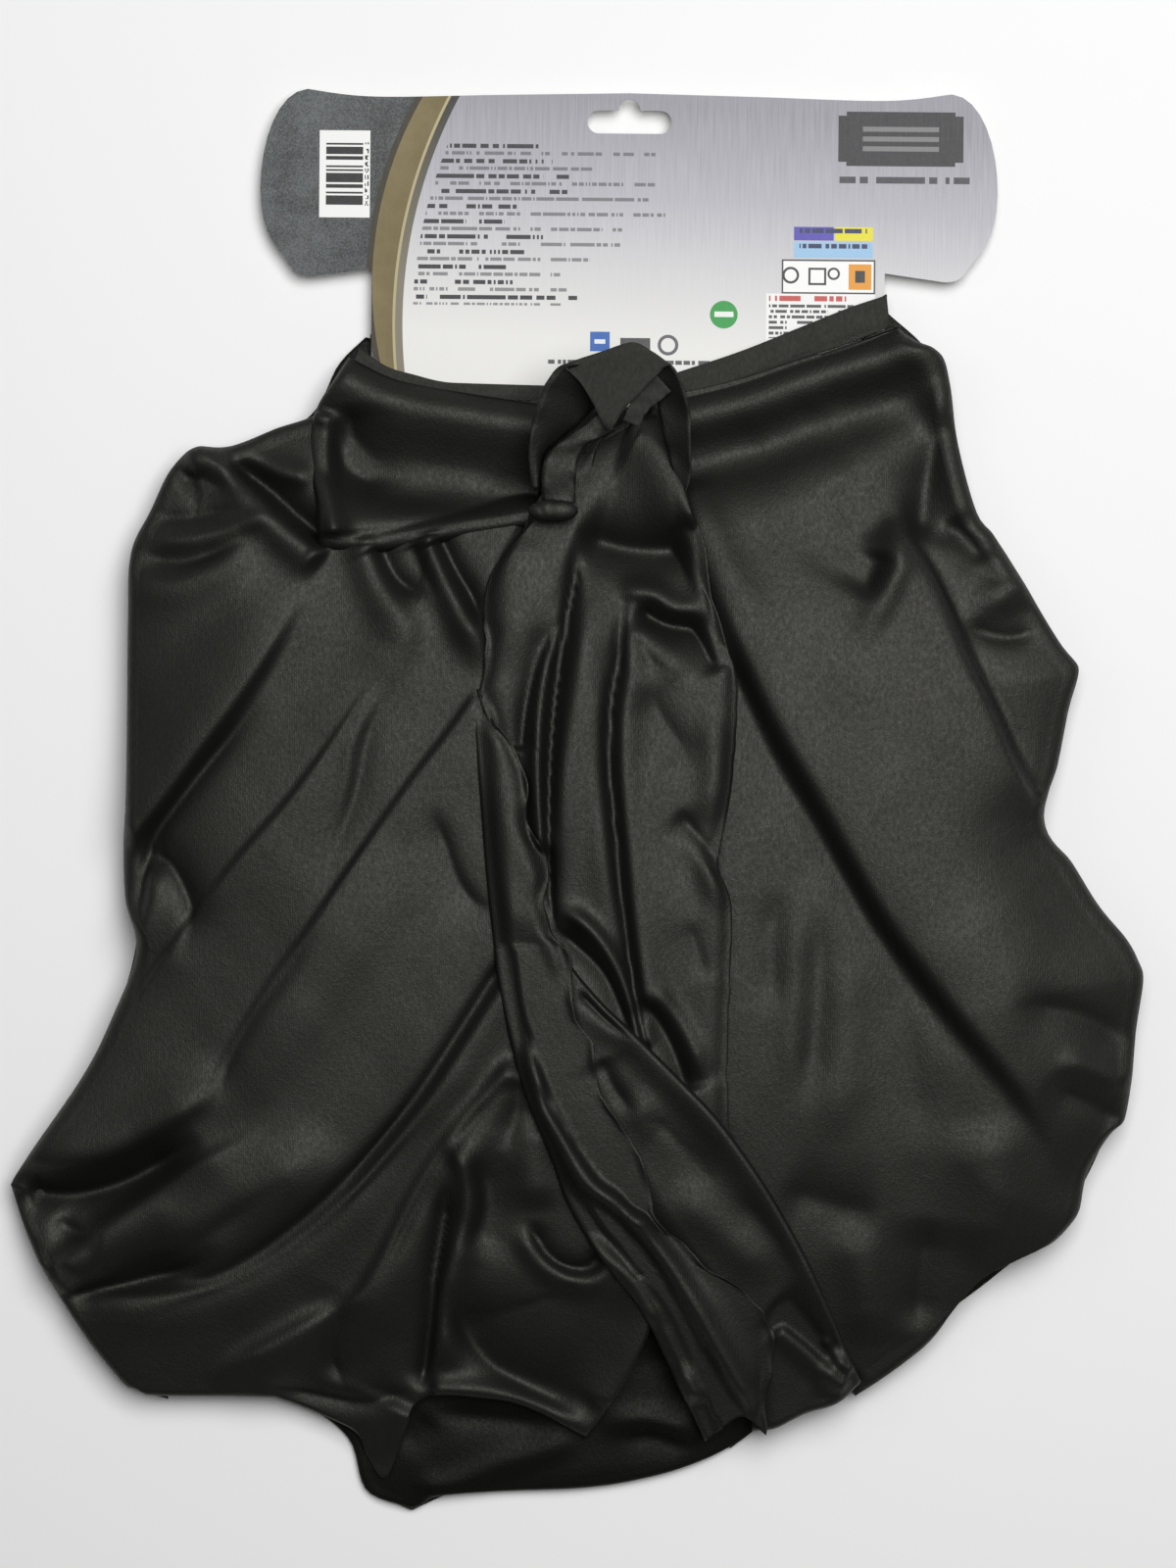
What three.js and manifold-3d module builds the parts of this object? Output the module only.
// A child's costume cape of satin-faced knit, folded for display round the body of a printed header card
// and tied over the card with its own two neck ties. It lies on its back: +Z is up, towards the bow, and
// +Y runs from the hem towards the card's hanging slot. Millimetres. The origin is the middle of the
// bundle's outline, on the surface that it lies on.
import * as THREE from "three";
import { mergeVertices } from "three/addons/utils/BufferGeometryUtils.js";
import Module from "manifold-3d";

const wasm = await Module();
wasm.setup();

// Bundle: the folded cape as it lies.
const BUNDLE_WIDTH = 415;
const CLOTH_SHOWING = 417; // from the neckline down to the lowest fold
const CARD_SHOWING = 107; // from the neckline up to the top of the card
const NECK_X = 19.5; // the card's centre line stands this far right of the bundle's middle
const NECK_WIDTH = 190; // inside of the neck casing, laid flat

// Lofts: how thick each gathered layer lies, and what keeps the layers apart.
const HEM_LOFT = 5;
const BACK_LOFT = 5;
const FRONT_CREST = 37; // the highest fold of the fronts above the surface
const LAYER_GAP = 0.4;
const PARTING_GAP = 1; // sideways, between neighbouring folds
const HEM_DEPTH = 250; // how far the length that doesn't show is turned up under the back
const HEM_INSET = 6;

// Header card.
const CARD_WIDTH = 271; // across the wings
const CARD_THICKNESS = 0.7;
const CARD_CLEARANCE = 0.5; // to the cloth behind it and in front of it
const CARD_SIDE_CLEARANCE = 0.75; // to each side of the neck
const CARD_TAIL = 110; // length of the body below the neckline, inside the cape
const CARD_TILT = THREE.MathUtils.degToRad(-0.5);
const CARD_CORNER = 8;
const WING_HEIGHT = 69;
const WING_TIP = 17; // the wing's top and bottom corners stand this far in from its tip
const SLOT_WIDTH = 31; // euro slot
const SLOT_HEIGHT = 8.5;
const SLOT_CREST = 8; // width of the round crest over the middle of the slot
const SLOT_DROP = 11.2; // from the card's top edge to the slot's centre line

// Neck casing and its stitching.
const CASING_WIDTH = 7.5;
const CASING_LOFT = 5;
const CASING_SEAM_GAP = 0.7; // between the casing's lower edge and the front below it
const CASING_RISE = 30; // the right end of the casing stands this far above the neckline
const STITCH_WIDTH = 0.7;
const STITCH_HEIGHT = 0.4;
const STITCH_INSET = 1.6; // from the casing's lower edge to the thread

// Ties.
const TIE_WIDTH = 15; // ribbon width, standing on edge in the loop
const TIE_SEAT = 27; // height of the folds that the knot sits on
const LOOP_LEAN = THREE.MathUtils.degToRad(-12); // the loop leans back from the knot onto the neckline
const TIE_LOFT = 1.6; // the ribbon with its curled raw edges
const LOOP_WIDTH = 59;
const LOOP_LENGTH = 48; // from its feet at the knot to its top
const LOOP_FOOT = 8; // the feet stand this far above the knot's middle
const KNOT_OFFSET = 26.5; // the knot lies this far left of the card's centre line
const KNOT_DROP = 50; // and this far below the neckline
const KNOT_SIZE = new THREE.Vector3(18, 11, 9);
const FOOT_GAP = 0.9; // sideways from the knot to the loop's left foot

const BIG = 2000; // longer than the bundle, for prisms that are cut to size
const SIDES = 10; // divisions of each span of a soft curve

const bundleLength = CARD_SHOWING + CLOTH_SHOWING;
const topY = bundleLength / 2;
const neckY = topY - CARD_SHOWING;
const neckLeft = NECK_X - NECK_WIDTH / 2;
const neckRight = NECK_X + NECK_WIDTH / 2;
const knotX = NECK_X - KNOT_OFFSET;
const knotY = neckY - KNOT_DROP;
const loopLeft = knotX - KNOT_SIZE.x / 2 - FOOT_GAP - TIE_LOFT;
const cardZ = BACK_LOFT + CARD_CLEARANCE;
const frontZ = cardZ + CARD_THICKNESS + CARD_CLEARANCE;
const backRise = HEM_LOFT + LAYER_GAP; // the back climbs this far over the turned-up hem
const lowerFrontZ = backRise + BACK_LOFT + LAYER_GAP;
const cardTailY = neckY - CARD_TAIL;
const hemTopY = neckY - CLOTH_SHOWING + HEM_DEPTH;

// ---------------------------------------------------------------- soft outlines and solids

// A place on the cloth: x as a share of the half width, y as a share of the length below the neckline.
function cloth(across, down) {
  return [(across * BUNDLE_WIDTH) / 2, neckY - down * CLOTH_SHOWING];
}

// A smooth run through the places given, as 2-D points.
function soft(places) {
  const curve = new THREE.SplineCurve(places.map(([x, y]) => new THREE.Vector2(x, y)));
  return curve.getPoints(Math.ceil((places.length - 1) * SIDES * 0.4));
}

function shift(points, dx, dy = 0) {
  return points.map((p) => new THREE.Vector2(p.x + dx, p.y + dy));
}

function toSolid(geometry) {
  const bare = geometry.clone();
  bare.deleteAttribute("normal");
  bare.deleteAttribute("uv");
  const merged = mergeVertices(bare, 1e-4);
  return new wasm.Manifold(
    new wasm.Mesh({
      numProp: 3,
      vertProperties: merged.attributes.position.array,
      triVerts: new Uint32Array(merged.index.array),
    }),
  );
}

function toGeometry(solid) {
  const made = solid.getMesh();
  const geometry = new THREE.BufferGeometry();
  geometry.setAttribute("position", new THREE.BufferAttribute(made.vertProperties, 3));
  geometry.setIndex(new THREE.BufferAttribute(made.triVerts, 1));
  geometry.computeVertexNormals();
  return geometry;
}

// An upright prism over an outline in plan.
function planPrism(points, low, high) {
  const geometry = new THREE.ExtrudeGeometry(new THREE.Shape(points), {
    depth: high - low,
    bevelEnabled: false,
    curveSegments: 6,
  });
  return toSolid(geometry.translate(0, 0, low));
}

// A prism across the bundle, from an outline in the YZ plane.
function acrossPrism(points) {
  const geometry = new THREE.ExtrudeGeometry(new THREE.Shape(points), { depth: BIG, bevelEnabled: false });
  const turn = new THREE.Matrix4().makeBasis(
    new THREE.Vector3(0, 1, 0),
    new THREE.Vector3(0, 0, 1),
    new THREE.Vector3(1, 0, 0),
  );
  return toSolid(geometry.applyMatrix4(turn).translate(-BIG / 2, 0, 0));
}

// A prism along the bundle, from an outline in the XZ plane.
function alongPrism(points) {
  const geometry = new THREE.ExtrudeGeometry(new THREE.Shape(points), { depth: BIG, bevelEnabled: false });
  return toSolid(geometry.rotateX(Math.PI / 2).translate(0, BIG / 2, 0));
}

function named(name, geometry, color, roughness) {
  const material = new THREE.MeshStandardMaterial({ color, roughness, metalness: 0 });
  const mesh = new THREE.Mesh(geometry, material);
  mesh.name = name;
  return mesh;
}

const satin = 0x24241f;
const matt = 0x33342f;

// ---------------------------------------------------------------- the folded cape's outlines

// The left side of the bundle, from the neck corner round to the lowest point.
function leftSide() {
  return [
    [neckLeft - 3, neckY + 14],
    [neckLeft - 8, neckY],
    cloth(-0.46, 0.03),
    cloth(-0.58, 0.052),
    cloth(-0.68, 0.062),
    cloth(-0.75, 0.115),
    cloth(-0.79, 0.17),
    cloth(-0.8, 0.23),
    cloth(-0.8, 0.42),
    cloth(-0.785, 0.5),
    cloth(-0.86, 0.6),
    cloth(-0.97, 0.69),
    cloth(-1, 0.715),
    cloth(-0.95, 0.78),
    cloth(-0.86, 0.86),
    cloth(-0.78, 0.893),
    cloth(-0.56, 0.893),
    cloth(-0.45, 0.915),
    cloth(-0.4, 0.93),
    cloth(-0.38, 0.965),
    cloth(-0.29, 1),
  ];
}

// The right side of the front, from the shoulder down to the lowest corner of the fronts.
function frontRightSide() {
  return [
    [neckRight + 2, neckY + 19],
    [neckRight + 13, neckY + 15],
    [neckRight + 21, neckY + 2],
    cloth(0.67, 0.06),
    cloth(0.69, 0.112),
    cloth(0.625, 0.147),
    cloth(0.64, 0.19),
    cloth(0.7, 0.26),
    cloth(0.76, 0.335),
    cloth(0.82, 0.39),
    cloth(0.87, 0.42),
    cloth(0.965, 0.485),
    cloth(1, 0.53),
    cloth(0.985, 0.6),
    cloth(0.965, 0.655),
    cloth(0.91, 0.695),
    cloth(0.885, 0.74),
    cloth(0.795, 0.783),
    cloth(0.65, 0.831),
    cloth(0.5, 0.876),
  ];
}

// The right side of the back, which shows past the front between the shoulder and the elbow.
function backRightSide() {
  return [
    [neckRight, neckY + 28],
    [neckRight + 2, neckY + 19],
    [neckRight + 13, neckY + 15],
    [neckRight + 21, neckY + 2],
    cloth(0.68, 0.07),
    cloth(0.73, 0.13),
    cloth(0.8, 0.185),
    cloth(0.886, 0.255),
    cloth(0.87, 0.3),
    cloth(0.845, 0.35),
    cloth(0.87, 0.42),
    cloth(0.96, 0.485),
    cloth(0.99, 0.53),
    cloth(0.96, 0.65),
    cloth(0.875, 0.74),
    cloth(0.79, 0.78),
    cloth(0.49, 0.89),
    cloth(0.4, 0.905),
    cloth(0.33, 0.926),
    cloth(0.23, 0.957),
    cloth(0.06, 0.975),
    cloth(-0.24, 0.987),
  ];
}

// Where the left front ends at the gathers, from the knot down.
function leftParting() {
  return soft([
    [knotX - 11, knotY - 1],
    cloth(-0.145, 0.17),
    cloth(-0.168, 0.226),
    cloth(-0.168, 0.28),
    cloth(-0.158, 0.37),
    cloth(-0.14, 0.49),
    cloth(-0.1, 0.6),
    cloth(-0.035, 0.685),
    cloth(0.06, 0.77),
    cloth(0.125, 0.82),
    cloth(0.2, 0.9),
  ]);
}

// Where the gathers end at the right front, from the knot down.
function rightParting() {
  return soft([
    [knotX + 52, knotY - 1],
    cloth(0.23, 0.18),
    cloth(0.275, 0.255),
    cloth(0.275, 0.33),
    cloth(0.262, 0.42),
    cloth(0.265, 0.56),
    cloth(0.28, 0.67),
    cloth(0.36, 0.75),
    cloth(0.43, 0.813),
    cloth(0.49, 0.872),
  ]);
}

// A seam under the casing: from one x to another, through heights given against the neckline.
function seam(from, to, heights) {
  const step = (to - from) / (heights.length - 1);
  return soft(heights.map((height, i) => [from + i * step, neckY + height]));
}

// The left stretch falls a little towards the knot, and the right one climbs to the shoulder.
function leftSeam() {
  return seam(neckLeft - 5, knotX - 6, [4, -4, -7, -8.5, -10]);
}

function rightSeam() {
  return seam(knotX + 43, neckRight, [-8, -2.5, 4, 10.5, 17]);
}

// ---------------------------------------------------------------- cape panels

// The underside of the fronts: over the card near the neck, over the back and the hem lower down.
function frontUnderside() {
  return [
    new THREE.Vector2(topY, frontZ),
    new THREE.Vector2(cardTailY - 4, frontZ),
    new THREE.Vector2(hemTopY, lowerFrontZ),
    new THREE.Vector2(-topY - 1, lowerFrontZ),
  ];
}

// The crest line of the fronts seen from the side, from the lowest fold up to the neck.
function frontCrest() {
  const crest = [
    [-topY - 1, lowerFrontZ + 3],
    cloth(0, 0.97).map((v, i) => (i ? v : 0)).reverse(),
    cloth(0, 0.85).reverse(),
    cloth(0, 0.68).reverse(),
    cloth(0, 0.45).reverse(),
    cloth(0, 0.2).reverse(),
    cloth(0, 0.06).reverse(),
    [neckY + 40, frontZ + CASING_LOFT],
  ];
  const shares = [0, 0.5, 0.8, 1, 0.98, 0.8, 0.6, 0];
  return soft(crest.map(([y, z], i) => [y, shares[i] ? shares[i] * FRONT_CREST : z]));
}

// The fronts seen from the hem: they roll down to the surface at both sides.
function frontDome() {
  const half = BUNDLE_WIDTH / 2 + 1;
  const rim = lowerFrontZ + 2;
  return [
    new THREE.Vector2(-half, 0),
    new THREE.Vector2(half, 0),
    ...soft([
      [half, rim],
      [half * 0.96, FRONT_CREST * 0.6],
      [half * 0.8, FRONT_CREST * 0.8],
      [half * 0.5, FRONT_CREST * 0.95],
      [0, FRONT_CREST],
      [-half * 0.5, FRONT_CREST * 0.95],
      [-half * 0.8, FRONT_CREST * 0.8],
      [-half * 0.96, FRONT_CREST * 0.6],
      [-half, rim],
    ]),
  ];
}

function frontPanel(outline) {
  const side = acrossPrism([...frontUnderside(), ...frontCrest()]);
  const dome = alongPrism(frontDome());
  return toGeometry(planPrism(outline, 0, BIG).intersect(side).intersect(dome));
}

function leftFront() {
  const outline = [
    ...leftSeam(),
    ...shift(leftParting(), -PARTING_GAP / 2),
    ...soft([cloth(0.1, 0.915), cloth(-0.1, 0.93), cloth(-0.25, 0.945)]),
    ...soft(leftSide().slice(2, -2)).reverse(),
  ];
  return named("cape_left_front", frontPanel(outline), satin, 0.55);
}

function rightFront() {
  const outline = [
    ...rightSeam(),
    ...soft(frontRightSide().slice(1)),
    ...shift(rightParting(), PARTING_GAP / 2).reverse(),
  ];
  return named("cape_right_front", frontPanel(outline), satin, 0.55);
}

// Both raw front edges and the folds between them, which puff out over the knot and hang down the middle.
function frontGathers() {
  const outline = [
    ...shift(leftParting(), PARTING_GAP / 2).reverse(),
    ...soft([
      [knotX + 14, knotY + 2],
      [knotX + 11, knotY + 18],
      [knotX + 20, knotY + 27],
      [knotX + 34, knotY + 33],
      [knotX + 43, knotY + 14],
    ]),
    ...shift(rightParting(), -PARTING_GAP / 2),
    ...soft([cloth(0.47, 0.885), cloth(0.34, 0.915), cloth(0.23, 0.915)]),
  ];
  return named("cape_front_gathers", frontPanel(outline), satin, 0.55);
}

// The back lies flat under the card and climbs over the turned-up hem.
function backPanel() {
  const left = soft(leftSide());
  const right = soft(backRightSide());
  const side = acrossPrism([
    new THREE.Vector2(topY, 0),
    new THREE.Vector2(topY, BACK_LOFT),
    new THREE.Vector2(cardTailY - 6, BACK_LOFT),
    new THREE.Vector2(hemTopY, backRise + BACK_LOFT),
    new THREE.Vector2(-topY - 1, backRise + BACK_LOFT),
    new THREE.Vector2(-topY - 1, backRise),
    new THREE.Vector2(hemTopY + 4, backRise),
    new THREE.Vector2(cardTailY - 6, 0),
  ].reverse());
  const panel = planPrism([...right, ...left.reverse()].reverse(), 0, BIG);
  return named("cape_back_panel", toGeometry(panel.intersect(side).subtract(aboveBackSeam())), satin, 0.55);
}

// The length of cape that doesn't show, turned up under the back.
function turnedHem() {
  const inset = (BUNDLE_WIDTH / 2 - HEM_INSET) / (BUNDLE_WIDTH / 2);
  const left = soft(leftSide().slice(8)).map((p) => new THREE.Vector2(p.x * inset, p.y + HEM_INSET * 0.5));
  const right = soft(backRightSide().slice(10)).map((p) => new THREE.Vector2(p.x * inset, p.y + HEM_INSET));
  const below = acrossPrism([
    new THREE.Vector2(-topY, 0),
    new THREE.Vector2(hemTopY, 0),
    new THREE.Vector2(hemTopY - 2, HEM_LOFT),
    new THREE.Vector2(-topY, HEM_LOFT),
  ]);
  const outline = [...right, ...left.reverse()].reverse();
  return named("cape_turned_hem", toGeometry(planPrism(outline, 0, BIG).intersect(below)), satin, 0.6);
}

// ---------------------------------------------------------------- neck casing

// A band along a seam: the seam's points, and the same points stepped up by the band's width.
function band(line, low, high) {
  return [...shift(line, 0, low), ...shift(line, 0, high).reverse()];
}

function rounded(outline, low, loft, round) {
  const geometry = new THREE.ExtrudeGeometry(new THREE.Shape(outline), {
    depth: loft - 2 * round,
    bevelEnabled: true,
    bevelThickness: round,
    bevelSize: round,
    bevelOffset: -round,
    bevelSegments: 2,
  });
  return geometry.translate(0, 0, low + round);
}

function frontCasing(name, line) {
  const low = CASING_SEAM_GAP;
  const outline = band(line, low, low + CASING_WIDTH);
  return named(name, rounded(outline, frontZ, CASING_LOFT, 1), matt, 0.85);
}

// The back casing's lower edge, running past the neck at each end by the distance given.
function backSeam(past) {
  return soft([
    [neckLeft - past, neckY + 10],
    [NECK_X - NECK_WIDTH * 0.2, neckY + 9],
    [NECK_X + NECK_WIDTH * 0.2, neckY + 16],
    [neckRight + past, neckY + CASING_RISE - CASING_WIDTH],
  ]);
}

// All that lies above the back panel's neckline, where the back casing takes over.
function aboveBackSeam() {
  return planPrism(band(backSeam(NECK_WIDTH * 0.1), -LAYER_GAP, NECK_WIDTH), -1, BIG);
}

function backCasing() {
  const outline = band(backSeam(0), 0, CASING_WIDTH);
  return named("neck_casing_back", rounded(outline, 0, BACK_LOFT, 1), matt, 0.85);
}

function stitching(name, line) {
  const trimmed = line.slice(1, -1);
  const outline = band(trimmed, STITCH_INSET, STITCH_INSET + STITCH_WIDTH);
  const low = frontZ + CASING_LOFT + LAYER_GAP * 0.75;
  return named(name, toGeometry(planPrism(outline, low, low + STITCH_HEIGHT)), 0x111111, 0.6);
}

// ---------------------------------------------------------------- ties

function knot() {
  const geometry = new THREE.SphereGeometry(0.5, 14, 8);
  const middle = TIE_SEAT + KNOT_SIZE.z / 2 + LAYER_GAP;
  geometry.scale(KNOT_SIZE.x, KNOT_SIZE.y, KNOT_SIZE.z).translate(knotX, knotY, middle);
  return named("tie_knot", geometry, matt, 0.85);
}

// The left tie comes out of the left casing, passes under the loop and goes down into the knot.
function leftTieStrip() {
  const outline = [
    [knotX - 5, knotY + 8],
    [knotX + 7, knotY + 6],
    [knotX + 8, knotY + 20],
    [knotX + 19, knotY + 28.5],
    [knotX + 15, knotY + 36],
    [knotX - 3, knotY + 21],
  ].map(([x, y]) => new THREE.Vector2(x, y));
  return named("left_tie_strip", rounded(outline, TIE_SEAT + LAYER_GAP, TIE_LOFT, 0.5), matt, 0.85);
}

// The right tie's loop: a ribbon standing on edge, bent over in an arch from the knot to the right front.
// Its frame is the hinge line: y is measured from the loop's feet and z from its lower edge.
function loopRun() {
  return soft([
    [loopLeft + 1, 0],
    [loopLeft, LOOP_LENGTH * 0.35],
    [loopLeft + LOOP_WIDTH * 0.08, LOOP_LENGTH * 0.72],
    [loopLeft + LOOP_WIDTH * 0.24, LOOP_LENGTH * 0.89],
    [loopLeft + LOOP_WIDTH * 0.62, LOOP_LENGTH],
    [loopLeft + LOOP_WIDTH * 0.86, LOOP_LENGTH * 0.89],
    [loopLeft + LOOP_WIDTH * 0.98, LOOP_LENGTH * 0.6],
    [loopLeft + LOOP_WIDTH, LOOP_LENGTH * 0.3],
    [loopLeft + LOOP_WIDTH - 1, 2],
  ]);
}

function tieLoop() {
  const run = loopRun();
  const inner = run.map((p, i) => {
    const before = run[Math.max(i - 1, 0)];
    const after = run[Math.min(i + 1, run.length - 1)];
    const along = after.clone().sub(before).normalize();
    return new THREE.Vector2(p.x + along.y * TIE_LOFT, p.y - along.x * TIE_LOFT);
  });
  const outline = [...run, ...inner.reverse()].reverse();
  return named("right_tie_loop", toGeometry(planPrism(outline, 0, TIE_WIDTH)), matt, 0.85);
}

// The top of the loop, folded forward with its cut corner hanging towards the knot.
function tieFlap() {
  const crest = LOOP_LENGTH - TIE_LOFT - LAYER_GAP;
  const middle = loopLeft + LOOP_WIDTH * 0.62;
  const outline = [
    [middle - 16, crest - 5.5],
    [middle, crest - 0.5],
    [middle + 11, crest - 5],
    [middle, crest - 18],
    [middle - 8, crest - 23],
  ].map(([x, y]) => new THREE.Vector2(x, y));
  return named("tie_flap", rounded(outline.reverse(), TIE_WIDTH - TIE_LOFT, TIE_LOFT, 0.5), matt, 0.85);
}

// ---------------------------------------------------------------- header card

// One half of the card's outline, right of its centre line, from the top edge down to the tail.
function cardHalf() {
  const tip = CARD_WIDTH / 2;
  const body = NECK_WIDTH / 2 - CARD_SIDE_CLEARANCE;
  const tail = -CARD_SHOWING - CARD_TAIL;
  const path = new THREE.Path();
  path.moveTo(0, -0.6);
  path.splineThru([
    new THREE.Vector2(body * 0.5, -1.6),
    new THREE.Vector2(body, -2.6),
    new THREE.Vector2(tip - WING_TIP, 0),
  ]);
  path.bezierCurveTo(tip - WING_TIP * 0.35, -1, tip, -WING_HEIGHT * 0.28, tip, -WING_HEIGHT * 0.53);
  path.bezierCurveTo(tip, -WING_HEIGHT * 0.8, tip - 8, -WING_HEIGHT * 0.86, tip - 12, -WING_HEIGHT * 0.96);
  path.quadraticCurveTo(tip - 14.5, -WING_HEIGHT - 0.5, tip - 20, -WING_HEIGHT);
  path.lineTo(body, -WING_HEIGHT + 3);
  path.lineTo(body, tail + CARD_CORNER);
  path.absarc(body - CARD_CORNER, tail + CARD_CORNER, CARD_CORNER, 0, -Math.PI / 2, true);
  return path.getPoints(8);
}

function euroSlot() {
  const end = SLOT_HEIGHT / 2;
  const reach = SLOT_WIDTH / 2 - end;
  const crest = SLOT_CREST / 2;
  const slot = new THREE.Path();
  slot.absarc(-reach, -SLOT_DROP, end, -Math.PI / 2, Math.PI / 2, true);
  slot.lineTo(-crest, -SLOT_DROP + end);
  slot.absarc(0, -SLOT_DROP + end, crest, Math.PI, 0, true);
  slot.lineTo(reach, -SLOT_DROP + end);
  slot.absarc(reach, -SLOT_DROP, end, Math.PI / 2, -Math.PI / 2, true);
  slot.closePath();
  return slot;
}

function headerCard() {
  const right = cardHalf();
  const left = right.map((p) => new THREE.Vector2(-p.x, p.y)).reverse();
  const shape = new THREE.Shape([...right, ...left.slice(0, -1)].reverse());
  shape.holes.push(euroSlot());
  const geometry = new THREE.ExtrudeGeometry(shape, {
    depth: CARD_THICKNESS,
    bevelEnabled: false,
    curveSegments: 8,
  });
  const mesh = named("header_card", geometry, 0xb9b8c0, 0.5);
  const peakRise = Math.sin(-CARD_TILT) * (CARD_WIDTH / 2 - WING_TIP);
  mesh.position.set(NECK_X, topY - peakRise, cardZ);
  mesh.rotation.z = CARD_TILT;
  return mesh;
}

// ---------------------------------------------------------------- assembly

const cape = new THREE.Group();
cape.add(backPanel(), turnedHem(), leftFront(), frontGathers(), rightFront());
cape.add(backCasing());
cape.add(frontCasing("neck_casing_left", leftSeam()));
cape.add(frontCasing("neck_casing_right", rightSeam()));
cape.add(stitching("casing_stitching_left", leftSeam()));
cape.add(stitching("casing_stitching_right", rightSeam()));
cape.add(knot(), leftTieStrip());

const bow = new THREE.Group();
bow.add(tieLoop(), tieFlap());
bow.position.set(0, knotY + LOOP_FOOT, TIE_SEAT + TIE_LOFT + 2 * LAYER_GAP);
bow.rotation.x = LOOP_LEAN;

const display = new THREE.Group();
display.add(cape, bow, headerCard());

export default display;
